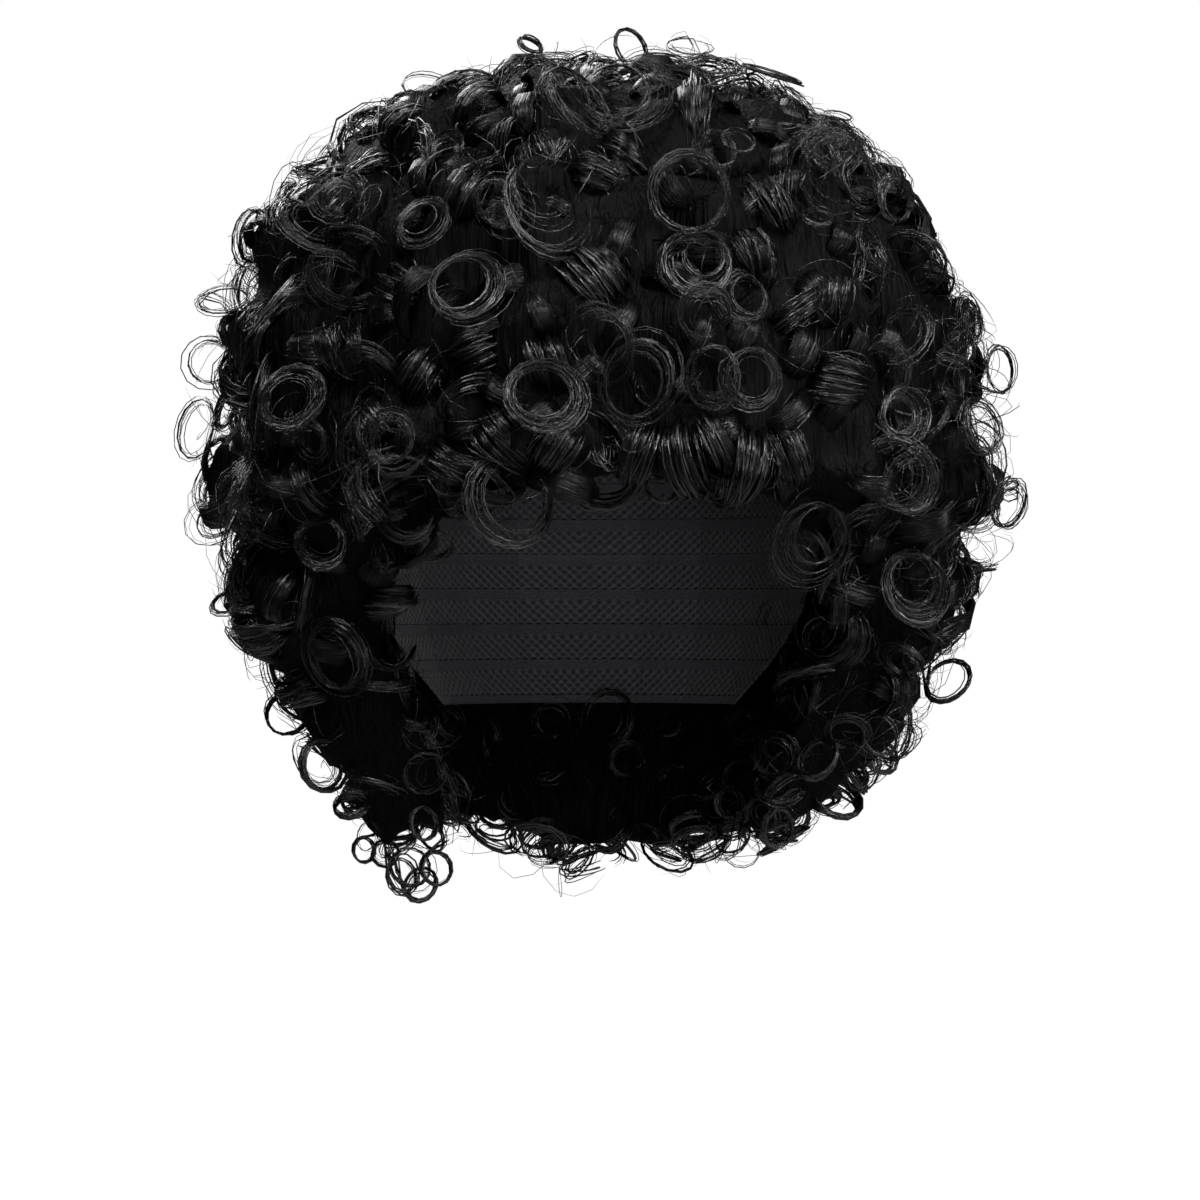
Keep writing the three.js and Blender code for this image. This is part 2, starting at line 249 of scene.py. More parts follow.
# The curls. Each is a lock of some dozen strands, and each strand stands for a few fibres that
# cling together. The fibre is set in curls by heat on a rod, so the locks keep coming back to the
# same few rounds: rings, rolls, loose spirals, and ringlets where they hang free at the edge.
STRAND_WIDTH = 0.00046
FLATNESS = 0.75
SEGMENTS_PER_TURN = 12
WIDE_ROUND = 0.0115
LOOSE_POINTS = 8
LOWEST_POINT = -0.224
FOREMOST_POINT = -0.1305
HIGHEST_ROLL = 0.0095
SEEN_PAST_OUTLINE = 12
LOCKS_PAST_OUTLINE = (-12, 6)
random = np.random.default_rng(31)


class Locks:
    """Strands gathered by their number of points and of sides, to be made one mesh.

    Three sides make a strand, and five the dull matted fibre that lies in a lock under its strands.
    """

    def __init__(self):
        self.groups = {}
        self.spare = SEEN_PAST_OUTLINE

    def add(self, points, flats, widths, flatness=FLATNESS, sides=3):
        """points is strand by point by xyz. flats is the direction across the flat of the strand."""
        strands, count, _ = points.shape
        points = kept_inside(points, self.spare)
        points[..., 2] += np.maximum(0, LOWEST_POINT - points[..., 2].min(1, keepdims=True))
        points[..., 1] += max(0, FOREMOST_POINT - points[..., 1].min())
        group = self.groups.setdefault((count, sides), [])
        flats = np.broadcast_to(flats, points.shape)
        tints = random.uniform(0, 1, strands)
        widths = np.broadcast_to(widths, strands)
        group.append((points, flats, widths, widths * flatness, tints))


def unit(vectors):
    return vectors / np.maximum(np.linalg.norm(vectors, axis=-1, keepdims=True), 1e-12)


def strand_arrays(sides, points, flats, widths, thicknesses, tints):
    """Tapered tubes along the strands, as vertices, quads, end triangles, and UVs in millimetres."""
    strands, count, _ = points.shape
    tangents = unit(np.gradient(points, axis=1))
    flat = flats - np.sum(flats * tangents, 2, keepdims=True) * tangents
    flat = unit(flat + 1e-6)
    across = np.cross(tangents, flat)
    along = np.linspace(0, 1, count)
    taper = np.sqrt(np.clip((1.01 - along) / 0.35, 0.02, 1) * np.clip((0.02 + along) / 0.2, 0.05, 1))[None, :, None]
    corners = []
    for corner in range(sides):
        angle = math.pi / 2 + corner * 2 * math.pi / sides
        corners.append(
            points + math.cos(angle) * widths[:, None, None] / 2 * taper * flat
            + math.sin(angle) * thicknesses[:, None, None] / 2 * taper * across
        )
    vertices = np.stack(corners, 2).reshape(-1, 3)
    first = (np.arange(strands)[:, None, None] * count + np.arange(count - 1)[None, :, None]) * sides
    side = np.arange(sides)[None, None, :]
    following = (side + 1) % sides
    quads = np.stack([
        first + side, first + following, first + sides + following, first + sides + side,
    ], -1).reshape(-1, 4)
    start = (np.arange(strands) * count * sides)[:, None]
    end = start + (count - 1) * sides
    fan = np.arange(1, sides - 1)[None, :]
    caps = np.concatenate([
        np.stack([start + 0 * fan, start + fan + 1, start + fan], -1).reshape(-1, 3),
        np.stack([end + 0 * fan, end + fan, end + fan + 1], -1).reshape(-1, 3),
    ])
    lengths = np.cumsum(np.linalg.norm(np.diff(points, axis=1, prepend=points[:, :1]), axis=2), 1) * 1000
    low = np.broadcast_to(lengths[:, :-1, None], (strands, count - 1, sides))
    high = np.broadcast_to(lengths[:, 1:, None], (strands, count - 1, sides))
    perimeter = ((widths + thicknesses) * 1.6 * 1000)[:, None, None]
    shift = (17.3 * np.arange(strands))[:, None, None]
    left = np.broadcast_to(side / sides, low.shape) * perimeter + shift
    right = left + perimeter / sides
    uvs = np.stack([
        np.stack([left, low], -1), np.stack([right, low], -1),
        np.stack([right, high], -1), np.stack([left, high], -1),
    ], -2).reshape(-1, 2)
    return vertices, quads, caps, uvs, np.repeat(tints, count * sides)


def strand_mesh(name, locks):
    vertices, quads, caps, quad_uvs, tints, matted = [], [], [], [], [], [[], []]
    offset = 0
    for (_, sides), group in locks.groups.items():
        made = strand_arrays(sides, *[np.concatenate(column) for column in zip(*group)])
        vertices.append(made[0])
        quads.append(made[1] + offset)
        caps.append(made[2] + offset)
        quad_uvs.append(made[3])
        tints.append(made[4])
        matted[0].append(np.full(len(made[1]), sides == 5))
        matted[1].append(np.full(len(made[2]), sides == 5))
        offset += len(made[0])
    vertices, quads, caps = np.concatenate(vertices), np.concatenate(quads), np.concatenate(caps)
    quad_uvs, tints = np.concatenate(quad_uvs), np.concatenate(tints)
    mesh = bpy.data.meshes.new(name)
    mesh.vertices.add(len(vertices))
    mesh.vertices.foreach_set("co", vertices.astype(np.float32).ravel())
    mesh.loops.add(quads.size + caps.size)
    mesh.loops.foreach_set("vertex_index", np.concatenate([quads.ravel(), caps.ravel()]).astype(np.int32))
    starts = np.concatenate([np.arange(len(quads)) * 4, quads.size + np.arange(len(caps)) * 3])
    mesh.polygons.add(len(starts))
    mesh.polygons.foreach_set("loop_start", starts.astype(np.int32))
    mesh.polygons.foreach_set("use_smooth", np.ones(len(starts), bool))
    mesh.polygons.foreach_set("material_index", np.concatenate(matted[0] + matted[1]).astype(np.int32))
    mesh.update(calc_edges=True)
    uv_layer = mesh.uv_layers.new(name="strand")
    uvs = np.zeros((quads.size + caps.size, 2), np.float32)
    uvs[:quads.size] = quad_uvs
    uv_layer.uv.foreach_set("vector", uvs.ravel())
    attribute = mesh.attributes.new("tint", "FLOAT", "POINT")
    attribute.data.foreach_set("value", tints.astype(np.float32))
    piece = bpy.data.objects.new(name, mesh)
    scene.collection.objects.link(piece)
    return piece


def tangent_frame(normal):
    across = np.cross((0, 0, 1), normal)
    if np.linalg.norm(across) < 0.1:
        across = np.cross((1, 0, 0), normal)
    across = unit(across)
    return across, np.cross(normal, across)


def wind(locks, root, centre, axis, radius, turns, rise, spread, strands, width=1.0):
    """A lock that leaves its root and winds round an axis.

    Its strands lie close together on one side and fan out on the other, where they take up the share of the
    radius that spread gives.
    """
    count = int(round(turns * (SEGMENTS_PER_TURN + (4 if radius > WIDE_ROUND else 0)))) + 2
    share = np.linspace(0, 1, count)[None, :]
    first = unit(np.cross(axis, (0.31, 0.47, 0.83)))
    second = np.cross(axis, first)
    away = root - centre
    beside = np.array([np.dot(away, first), np.dot(away, second)])
    begin = random.uniform(0, 2 * math.pi)
    if np.linalg.norm(beside) > 0.4 * radius:
        begin = math.atan2(beside[1], beside[0]) - random.uniform(0.2, 0.9)
    close = begin + random.uniform(-0.8, 0.8)
    closeness = random.uniform(0.3, 0.95)
    oval = random.uniform(0, 0.12)
    oval_turn = random.uniform(0, math.pi)

    def wound(inner, unruly):
        number = len(inner)
        angle = begin + random.normal(0, 0.2 * unruly, (number, 1)) + (
            2 * math.pi * turns * share * random.normal(1, 0.06 * unruly, (number, 1))
        )
        winding_in = random.uniform(-0.05, 0.25, (number, 1)) * unruly * share
        reach = radius * (1 - spread * inner[:, None]) * (1 - winding_in) * random.normal(1, 0.03, (number, 1))
        reach = reach * (1 + oval * np.cos(2 * (angle - oval_turn)))
        tilt = random.normal(0, 0.09 * unruly, (number, 1)) * np.cos(angle - random.uniform(0, 6.3, (number, 1)))
        height = rise * share + reach * tilt + random.normal(0, 0.0006 * unruly, (number, 1))
        shift = radius * spread * inner[:, None] * closeness
        in_first = reach * np.cos(angle) + shift * math.cos(close)
        in_second = reach * np.sin(angle) + shift * math.sin(close)
        points = centre + in_first[..., None] * first + in_second[..., None] * second + height[..., None] * axis
        leave = smoothstep(0, 0.2, share)[..., None]
        return points * leave + (root + random.normal(0, 0.0015, (number, 1, 3))) * (1 - leave)

    points = wound(np.sort(random.uniform(0, 1, strands)), 1)
    locks.add(points, axis, STRAND_WIDTH * width * random.lognormal(-0.05, 0.45, strands))


def ring(locks, place, normal, radius=None, tip=None, lean=None, strands=12, width=0.9, turns=None, centre=None,
         spread=None):
    """A lock wound flat on itself, seen as a ring when it faces out."""
    across, up = tangent_frame(normal)
    radius = radius or random.uniform(0.0075, 0.0155)
    tip = math.radians(random.uniform(0, 45) if tip is None else tip)
    lean = math.radians(random.uniform(0, 360) if lean is None else lean)
    axis = normal * math.cos(tip) + (across * math.cos(lean) + up * math.sin(lean)) * math.sin(tip)
    centre = place + normal * random.uniform(0.003, 0.009) if centre is None else centre
    turns = turns or random.uniform(1.0, 1.5)
    spread = spread or random.uniform(0.2, 0.6)
    rise = random.uniform(-0.005, 0.003)
    wind(locks, place - normal * 0.004, centre, axis, radius, turns, rise, spread, strands, width)


def crescent(locks, place, normal):
    """Part of a wide round, with its strands fanned out where it comes up from the mass."""
    ring(
        locks, place, normal, random.uniform(0.010, 0.020), random.uniform(0, 55), strands=17,
        turns=random.uniform(0.5, 0.85), centre=place + normal * random.uniform(-0.002, 0.004),
        spread=random.uniform(0.35, 0.65),
    )


def ringlet(locks, place, normal):
    """A lock that hangs free at the lower edge, as a short corkscrew."""
    outward = unit(np.array([normal[0], normal[1], 0]) + 1e-6)
    axis = unit(np.array([0, 0, -1.0]) + outward * random.uniform(0.0, 0.6) + random.normal(0, 0.25, 3))
    wind(
        locks, place - normal * 0.004, place + normal * random.uniform(0, 0.006) - axis * 0.004, axis,
        random.uniform(0.005, 0.009), random.uniform(1.5, 2.2), random.uniform(0.006, 0.013),
        random.uniform(0.1, 0.3), 5, random.uniform(1.0, 2.2),
    )


def roll(locks, place, normal, radius=None, lean=None, strands=12, bodies=3, half_length=None, lift=None, sweep=290):
    """A broad lock that rolls over out of the mass and back in, its strands side by side."""
    across, up = tangent_frame(normal)
    lean = math.radians(random.uniform(0, 360) if lean is None else lean)
    radius = radius or random.uniform(0.009, 0.0135)
    half_length = half_length or random.uniform(0.004, 0.008)
    axis = unit(across * math.cos(lean) + up * math.sin(lean) + normal * random.uniform(-0.3, 0.3))
    lift = random.uniform(-0.3, 0.1) * radius if lift is None else lift
    forward = unit(np.cross(axis, normal))
    shear = random.uniform(-0.007, 0.007)
    fan = random.uniform(-0.5, 0.5)
    count = int(round(sweep / 360 * SEGMENTS_PER_TURN)) + 2
    share = np.linspace(0, 1, count)[None, :]
    gather = 0.12 + 0.88 * np.sin(math.pi * (0.05 + 0.9 * share)) ** 1.3

    def rolled(offset, unruly, depth):
        number = len(offset)
        wide = offset[:, None] * gather * random.normal(1, 0.15 * unruly, (number, 1))
        wide = wide + random.normal(0, 0.45 * unruly, (number, 1)) * (share - 0.5)
        angle = (
            math.radians(90 - sweep / 2) + fan * wide + random.normal(0, 0.22 * unruly, (number, 1))
            + math.radians(sweep) * share * random.normal(1, 0.05 * unruly, (number, 1))
        )
        reach = radius * random.normal(1, 0.06 * unruly, (number, 1)) - depth
        reach = reach * (1 - 0.25 * offset[:, None] ** 2) * (1 - 0.42 * smoothstep(0.45, 1, share))
        slide = half_length * wide + shear * (share - 0.5) + random.normal(0, 0.0008 * unruly, (number, 1)) * share
        return (
            place + normal * lift + (reach * np.cos(angle))[..., None] * forward
            + (reach * np.sin(angle))[..., None] * normal + slide[..., None] * axis
        )

    offsets = np.sort(np.clip(random.normal(0, 0.65, strands), -1.6, 1.6))
    made = rolled(offsets, 1, 0)
    sink = normal * max(0, ((made - place) @ normal).max() - HIGHEST_ROLL)
    locks.add(made - sink, axis, STRAND_WIDTH * random.lognormal(-0.1, 0.45, strands))
    places_across = (np.arange(bodies) + 0.5) / bodies * 2 - 1
    locks.add(rolled(places_across * 0.8, 0.4, 0.0009) - sink, axis, half_length * 1.5 / bodies, 0.25, 5)


def loose_hair(locks, place, normal):
    """One stray fibre that has left its lock, in a wide arc of its own."""
    axis = unit(random.normal(0, 1, 3) + normal * random.uniform(-1, 1))
    first = unit(np.cross(axis, (0.31, 0.47, 0.83)))
    second = np.cross(axis, first)
    share = np.linspace(0, 1, LOOSE_POINTS)
    angle = random.uniform(0, 6.3) + share * random.uniform(2, 4.5)
    radius = random.uniform(0.004, 0.013) * (1 + random.uniform(-0.5, 0.5) * share)
    centre = place + normal * random.uniform(0, 0.010) + random.normal(0, 0.004, 3)
    points = (
        centre + (radius * np.cos(angle))[:, None] * first + (radius * np.sin(angle))[:, None] * second
        + (random.uniform(-0.01, 0.01) * share)[:, None] * axis
    )
    locks.add(points[None], axis, STRAND_WIDTH * random.uniform(0.4, 0.75))


def hair_surface():
    """The masses of all the sections as one: points, normals, section names, and a tree to search."""
    vertices, normals, polygons, names = [], [], [], []
    offset = 0
    for section, core in cores.items():
        count = len(core.data.vertices)
        co = np.zeros(count * 3)
        core.data.vertices.foreach_get("co", co)
        no = np.zeros(count * 3)
        core.data.vertices.foreach_get("normal", no)
        vertices.append(co.reshape(-1, 3))
        normals.append(no.reshape(-1, 3))
        polygons += [[offset + i for i in face.vertices] for face in core.data.polygons]
        names += [section] * count
        offset += count
    vertices, normals = np.concatenate(vertices), np.concatenate(normals)
    return vertices, normals, names, BVHTree.FromPolygons(vertices.tolist(), polygons)


vertices, normals, names, hair = hair_surface()
cap_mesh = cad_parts["wig_cap"].data
cap_surface = BVHTree.FromPolygons([v.co for v in cap_mesh.vertices], [list(p.vertices) for p in cap_mesh.polygons])


FARTHEST_SEEN = 0.04


def picture_place(x, y):
    """Where the line of sight through a picture pixel meets the hair, or passes it most closely.

    Hair behind the face opening is passed over: a curl seen there hangs in front of it.
    """
    middle = PICTURE_SIDE / 2
    target = (
        camera_place - camera_back * CAMERA_DISTANCE
        + camera_right * (x - middle) * METRES_PER_PIXEL
        + Vector((0, 0, 1)) * (middle - y) * METRES_PER_PIXEL
    )
    sight = (target - camera_place).normalized()
    hit, normal, _, _ = hair.ray_cast(camera_place, sight)
    if hit is not None and hit.y < FARTHEST_SEEN:
        return np.array(hit), np.array(hit), np.array(normal)
    best = None
    for step in np.linspace(CAMERA_DISTANCE - 0.14, CAMERA_DISTANCE + FARTHEST_SEEN, 41):
        point = camera_place + sight * step
        near, normal, _, distance = hair.find_nearest(point)
        if best is None or distance < best[0]:
            best = (distance, near, point, normal)
    return np.array(best[1]), np.array(best[2]), np.array(best[3])


def section_at(place):
    return names[int(np.argmin(np.sum((vertices - place) ** 2, 1)))]


def inside_places(apart):
    """Evenly scattered places on the inner side of the hair that hangs below the cap."""
    chosen = []
    for i in random.permutation(len(vertices)):
        place, normal = vertices[i], normals[i]
        inwards = -np.dot(unit(place * (1, 1, 0)), normal)
        if place[2] > INSIDE_TOP or inwards < 0.3 or cap_surface.find_nearest(Vector(place), 0.006)[0] is not None:
            continue
        if all(np.linalg.norm(place - other) > apart for other, _, _ in chosen):
            chosen.append((place, normal, names[i]))
    return chosen


def exposed_places(apart, taken=()):
    """Evenly scattered places on the outside of the hair, with their normals and sections."""
    centre = np.array(HEAD_CENTRE)
    chosen = np.zeros((0, 3))
    places = []
    for i in random.permutation(len(vertices)):
        place, normal = vertices[i], normals[i]
        spacing = apart * (0.85 if place[2] < LOWER_EDGE else 1)
        if len(chosen) and np.min(np.sum((chosen - place) ** 2, 1)) < spacing ** 2:
            continue
        facing = np.dot(unit(place - centre), normal)
        if facing < -0.25:
            continue
        if cap_surface.find_nearest(Vector(place), 0.006)[0] is not None:
            continue
        hit = hair.ray_cast(Vector(place + normal * 0.001), Vector(normal), 0.02)
        if hit[0] is not None:
            continue
        chosen = np.concatenate([chosen, place[None]])
        if any(np.linalg.norm(place - spot) < radius for spot, radius in taken):
            continue
        places.append((place, normal, names[i]))
    return places


LOCK_SPACING = 0.0151
LOWER_EDGE = -0.155
LOWEST_EDGE = -0.17
UNDER_SPACING = 0.0172
INSIDE_SPACING = 0.016
INSIDE_TOP = -0.095
LOOSE_HAIRS = 5
LOOSE_HAIRS_BELOW = 3
LOOSE_HAIRS_MORE = 5
FRIZZY_FROM = 0.03
locks_of = {section: Locks() for section in SECTIONS}
# Curls that show clearly in the picture: pixel, width across in pixels, how far the ring is tipped
# away from facing the viewer and towards which side, number of strands and their width.
SEEN_RINGS = [
    # x, y, across, tip, lean, strands, width, turns
    (693, 272, 74, 5, 0, 11, 0.9, 2.1),
    (736, 304, 62, 20, 30, 9, 1.0, 1.4),
    (640, 376, 88, 8, 180, 8, 0.8, 2.0),
    (709, 380, 62, 15, 200, 8, 0.9, 1.6),
    (742, 382, 66, 12, 20, 9, 0.9, 1.6),
    (546, 408, 86, 15, 90, 12, 0.9, 1.5),
    (477, 292, 80, 20, 45, 13, 0.9, 1.3),
    (510, 208, 58, 10, 0, 9, 0.8, 1.7),
    (428, 228, 60, 20, 120, 8, 0.8, 1.5),
    (400, 438, 54, 10, 200, 9, 0.8, 1.6),
    (604, 479, 76, 14, 270, 12, 2.0, 1.3),
    (661, 488, 30, 40, 90, 7, 1.6, 1.3),
    (464, 501, 26, 30, 200, 8, 0.8, 2.0),
    (411, 512, 60, 25, 90, 12, 0.9, 1.5),
    (428, 545, 44, 20, 250, 12, 0.9, 1.5),
    (255, 290, 95, 20, 180, 11, 0.9, 1.6),
    (300, 400, 70, 10, 90, 12, 0.9, 1.8),
    (259, 494, 76, 15, 180, 13, 0.9, 1.9),
    (327, 539, 60, 20, 90, 10, 0.8, 1.6),
    (340, 650, 80, 20, 200, 11, 0.9, 1.5),
    (905, 480, 70, 15, 0, 12, 0.9, 1.7),
    (910, 590, 80, 15, 20, 13, 0.9, 1.7),
    (631, 108, 104, 20, 90, 14, 0.9, 1.3),
    (633, 34, 44, 48, 0, 5, 1.0, 1.2),
    (689, 44, 54, 40, 90, 4, 0.9, 1.2),
    (775, 67, 72, 60, 70, 4, 1.8, 1.2),
    (528, 36, 26, 30, 30, 4, 2.0, 1.2),
    (839, 116, 32, 45, 90, 4, 0.8, 1.3),
    (820, 151, 60, 15, 0, 9, 0.8, 1.4),
    (684, 197, 90, 10, 0, 10, 0.8, 1.4),
    (732, 151, 32, 25, 90, 7, 0.8, 1.5),
    (812, 221, 32, 45, 90, 5, 0.9, 1.3),
    (884, 207, 52, 20, 0, 9, 0.8, 1.5),
    (420, 72, 56, 40, 60, 5, 0.7, 1.3),
    (193, 428, 66, 30, 180, 7, 0.9, 1.4),
    (200, 612, 56, 60, 100, 6, 0.9, 1.5),
    (222, 300, 60, 40, 90, 7, 0.9, 1.4),
    (205, 362, 52, 40, 0, 6, 0.9, 1.4),
    (214, 520, 60, 30, 0, 8, 0.9, 1.4),
    (968, 318, 56, 30, 0, 9, 0.9, 1.4),
    (985, 425, 64, 30, 0, 10, 0.9, 1.4),
    (600, 60, 60, 50, 90, 9, 0.9, 1.3),
    (550, 62, 50, 40, 90, 9, 0.9, 1.3),
    (715, 68, 60, 50, 90, 8, 0.9, 1.3),
    (1012, 366, 50, 30, 0, 6, 0.9, 1.4),
    (1006, 500, 58, 35, 0, 8, 0.9, 1.5),
    # The see-through loops along the lower edge, left and then right.
    (277, 720, 57, 51, 90, 5, 2.2, 1.3),
    (302, 772, 63, 68, 45, 5, 0.9, 1.4),
    (329, 762, 63, 62, 10, 4, 2.6, 1.3),
    (361, 804, 40, 52, 80, 4, 2.6, 1.3),
    (363, 854, 29, 48, 0, 3, 1.2, 1.5),
    (386, 856, 30, 25, 0, 5, 1.3, 1.6),
    (373, 831, 34, 50, 0, 3, 0.9, 1.3),
    (400, 882, 40, 40, 60, 5, 1.4, 1.8),
    (420, 884, 36, 35, 120, 5, 1.4, 1.8),
    (436, 868, 38, 45, 30, 5, 1.4, 1.8),
    (412, 868, 50, 30, 100, 5, 1.2, 1.6),
    (426, 815, 34, 40, 20, 4, 2.0, 1.4),
    (774, 820, 42, 15, 0, 4, 2.6, 1.4),
    (735, 802, 33, 35, 0, 6, 2.0, 1.4),
    (814, 755, 44, 35, 135, 5, 2.2, 1.3),
    (881, 758, 34, 30, 45, 4, 2.4, 1.3),
    (858, 776, 32, 30, 45, 4, 1.8, 1.4),
    (951, 684, 48, 50, 135, 7, 1.4, 1.4),
    (848, 812, 66, 60, 80, 5, 2.6, 1.3),
    (848, 827, 58, 75, 90, 3, 1.2, 1.2),
    (740, 850, 44, 30, 60, 3, 0.8, 1.3),
    (725, 840, 50, 20, 0, 3, 0.8, 1.3),
]
taken = []
for x, y, across, tip, lean, strands, width, turns in SEEN_RINGS:
    root, centre, normal = picture_place(x, y)
    facing = unit(normal * 0.4 + np.array(camera_back))
    lift = 0.010 if np.allclose(root, centre) else 0
    strands = strands if strands < 8 else round(strands * 1.3)
    ring(
        locks_of[section_at(root)], root, facing, across / 2 * METRES_PER_PIXEL, tip, lean, strands, width, turns,
        centre + facing * lift, 0.14 if strands < 8 else random.uniform(0.25, 0.5),
    )
    taken.append((root, across / 2 * METRES_PER_PIXEL * 1.1))
SEEN_ROLLS = [
    # x, y, across, half length in mm, lean, sweep, strands, bodies
    (590, 272, 92, 11, 35, 220, 24, 5),
    (830, 296, 54, 8, 0, 280, 20, 4),
    (345, 345, 90, 14, 8, 120, 24, 6),
    (262, 330, 110, 10, -20, 150, 16, 4),
    (545, 360, 70, 8, 10, 250, 16, 4),
    (480, 350, 70, 7, -60, 220, 14, 3),
    (640, 448, 76, 7, -20, 260, 18, 3),
    (682, 456, 84, 7, 12, 260, 22, 3),
    (742, 460, 88, 9, -6, 260, 26, 4),
    (712, 440, 70, 6, 25, 250, 16, 2),
    (786, 448, 80, 7, 22, 250, 20, 3),
    (590, 178, 84, 6, 60, 150, 14, 2),
    (785, 186, 50, 6, 5, 200, 14, 2),
    (505, 432, 80, 9, 48, 240, 18, 4),
    (560, 446, 60, 8, -35, 250, 16, 4),
    (448, 462, 60, 7, 65, 240, 16, 4),
    (830, 380, 90, 10, 75, 170, 18, 5),
    (770, 200, 80, 7, 20, 160, 16, 4),
    (620, 160, 90, 9, 60, 160, 16, 4),
    (400, 290, 80, 8, 55, 160, 16, 4),
    (385, 600, 60, 8, 80, 200, 14, 3),
    (745, 250, 70, 7, 15, 160, 14, 3),
]
for x, y, across, half_length, lean, sweep, strands, bodies in SEEN_ROLLS:
    root, centre, normal = picture_place(x, y)
    facing = unit(normal * 0.6 + np.array(camera_back))
    radius = across / 2 * METRES_PER_PIXEL
    roll(
        locks_of[section_at(root)], centre, facing, radius, lean, round(strands * 1.3), bodies, half_length / 1000,
        -0.3 * radius, sweep,
    )
    taken.append((root, radius * 1.1))

places = exposed_places(LOCK_SPACING, taken)
for place, normal, section in places:
    locks = locks_of[section]
    locks.spare = random.uniform(*LOCKS_PAST_OUTLINE)
    kind = random.uniform()
    if place[2] < LOWER_EDGE:
        if place[2] < LOWEST_EDGE:
            ringlet(locks, place, normal)
        if kind > 0.25:
            ring(locks, place, normal, random.uniform(0.006, 0.012), random.uniform(0, 80), strands=4,
                 width=random.uniform(0.9, 2.2), spread=random.uniform(0.1, 0.3))
    elif kind < 0.40:
        ring(locks, place, normal)
    elif kind < 0.68:
        crescent(locks, place, normal)
    elif kind < 0.76:
        roll(locks, place, normal, sweep=random.uniform(240, 330), strands=16, bodies=2)
    elif kind < 0.90:
        radius = random.uniform(0.013, 0.024)
        roll(locks, place, normal, radius, strands=20, bodies=2, lift=-0.55 * radius, sweep=150)
    else:
        ring(locks, place, normal, tip=random.uniform(60, 90))
    loose = LOOSE_HAIRS_BELOW if place[2] < LOWER_EDGE else LOOSE_HAIRS
    for _ in range(loose + (LOOSE_HAIRS_MORE if place[0] > FRIZZY_FROM else 0)):
        loose_hair(locks, place, normal)
for place, normal, section in inside_places(INSIDE_SPACING):
    ring(
        locks_of[section], place, normal, random.uniform(0.007, 0.012), random.uniform(0, 35), strands=7,
        centre=place + normal * 0.002, spread=random.uniform(0.2, 0.5),
    )
under_places = exposed_places(UNDER_SPACING)
for place, normal, section in under_places:
    if place[2] < LOWER_EDGE + 0.01:
        continue
    radius = random.uniform(0.010, 0.018)
    roll(locks_of[section], place, normal, radius, strands=4, bodies=1, lift=-0.65 * radius, sweep=140)


def curl_material(name, specular):
    """Modacrylic fibre, extruded and heat-set in curls: black all through, with a soft gloss."""
    material, tree = new_material(name)
    tint = add_node(tree, "ShaderNodeAttribute", attribute_name="tint").outputs["Fac"]
    colour = add_node(tree, "ShaderNodeValToRGB", {"Fac": tint})
    colour.color_ramp.elements[0].color = linear("#010102")
    colour.color_ramp.elements[1].color = linear("#060607")
    uv = add_node(tree, "ShaderNodeUVMap", uv_map="strand").outputs["UV"]
    stretched = add_node(tree, "ShaderNodeMapping", {"Vector": uv, "Scale": (1, 0.05, 1)}).outputs["Vector"]
    fibres = add_node(tree, "ShaderNodeTexNoise", {"Vector": stretched, "Scale": 2.2, "Detail": 3})
    bump = add_node(tree, "ShaderNodeBump", {
        "Height": fibres.outputs["Fac"], "Strength": 1.0, "Distance": 0.0009,
    })
    lengthwise = add_node(tree, "ShaderNodeTangent", direction_type="UV_MAP", uv_map="strand")
    gloss = add_node(tree, "ShaderNodeMapRange", {
        "Value": fibres.outputs["Fac"], "From Min": 0.3, "From Max": 0.7, "To Min": 0.20, "To Max": 0.36,
    })
    shader = add_node(tree, "ShaderNodeBsdfPrincipled", {
        "Base Color": colour.outputs["Color"], "Roughness": gloss.outputs["Result"], "IOR": 1.5,
        "Specular IOR Level": specular, "Anisotropic": 0.45, "Tangent": lengthwise.outputs["Tangent"], "Normal": bump.outputs["Normal"],
    })
    add_node(tree, "ShaderNodeOutputMaterial", {"Surface": shader.outputs["BSDF"]})
    return material


curled_fibre = curl_material("curled_black_modacrylic_fibre", 0.6)
matted_fibre = curl_material("matted_black_modacrylic_fibre", 0.15)
total = 0
for section, node_name in SECTIONS.items():
    piece = strand_mesh(section + "_hair_curls", locks_of[section])
    piece.data.materials.append(curled_fibre)
    piece.data.materials.append(matted_fibre)
    triangles = sum(len(p.vertices) - 2 for p in piece.data.polygons)
    total += triangles
    print(section, triangles, len(cores[section].data.polygons) * 2)
    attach(piece, "root")
    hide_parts(node_name)
print("places", len(inside_places(INSIDE_SPACING)), len(places), len(under_places), "total", total)


# The cap is a close-fitting skull cap of black elastic net, to which the wefts are sewn in rows. It
# shows from below and through the face opening, and keeps its own modelled shape.
CAP_RADIUS = 0.08
WEFT_ROWS_APART = 0.012
NET_CELL = 0.0021


